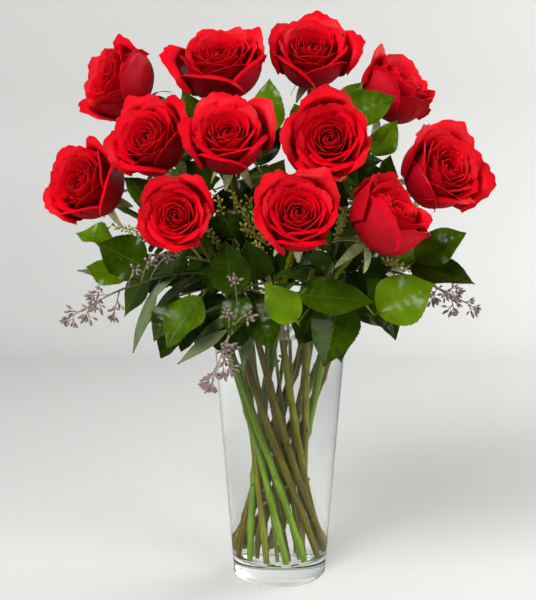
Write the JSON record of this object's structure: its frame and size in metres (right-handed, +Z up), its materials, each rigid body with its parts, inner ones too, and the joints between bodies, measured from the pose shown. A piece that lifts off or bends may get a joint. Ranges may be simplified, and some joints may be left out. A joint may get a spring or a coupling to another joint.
{
  "type": "roses in a vase",
  "caption": "Bouquet of open red roses with broad green leaves, narrow grey-green leaves and seed sprays, standing in a tapered clear glass vase of water.",
  "frame": {"origin": "centre of the vase's foot, on the surface it stands on", "axes": "+Z up through the vase's mouth; the arrangement faces -Y; +X is to its right as seen from the front"},
  "size_m": [0.4231, 0.29, 0.5496],
  "materials": {
    "glass": "gloss",
    "water": "gloss",
    "petals": "satin",
    "stems": "satin",
    "leaves": "satin",
    "grey_leaves": "matte",
    "seeds": "matte"
  },
  "bodies": {
    "root": {"vase": "glass", "water": "water", "rose_bloom_1": "petals", "rose_bloom_2": "petals", "rose_bloom_3": "petals", "rose_bloom_4": "petals", "rose_bloom_5": "petals", "rose_bloom_6": "petals", "rose_bloom_7": "petals", "rose_bloom_8": "petals", "rose_bloom_9": "petals", "rose_bloom_10": "petals", "rose_bloom_11": "petals", "rose_bloom_12": "petals", "rose_stem_1": "stems", "rose_stem_2": "stems", "rose_stem_3": "stems", "rose_stem_4": "stems", "rose_stem_5": "stems", "rose_stem_6": "stems", "rose_stem_7": "stems", "rose_stem_8": "stems", "rose_stem_9": "stems", "rose_stem_10": "stems", "rose_stem_11": "stems", "rose_stem_12": "stems", "salal_left": "leaves", "salal_left_low": "leaves", "salal_front_left": "leaves", "salal_front_right": "leaves", "salal_right": "leaves", "salal_top_left": "leaves", "salal_top_right": "leaves", "salal_back_left": "leaves", "salal_back_right": "leaves", "eucalyptus_stem_left": "grey_leaves", "eucalyptus_stem_front": "grey_leaves", "eucalyptus_stem_right": "grey_leaves", "eucalyptus_seeds_left": "seeds", "eucalyptus_seeds_front": "seeds", "eucalyptus_seeds_right": "seeds"}
  },
  "joints": []
}
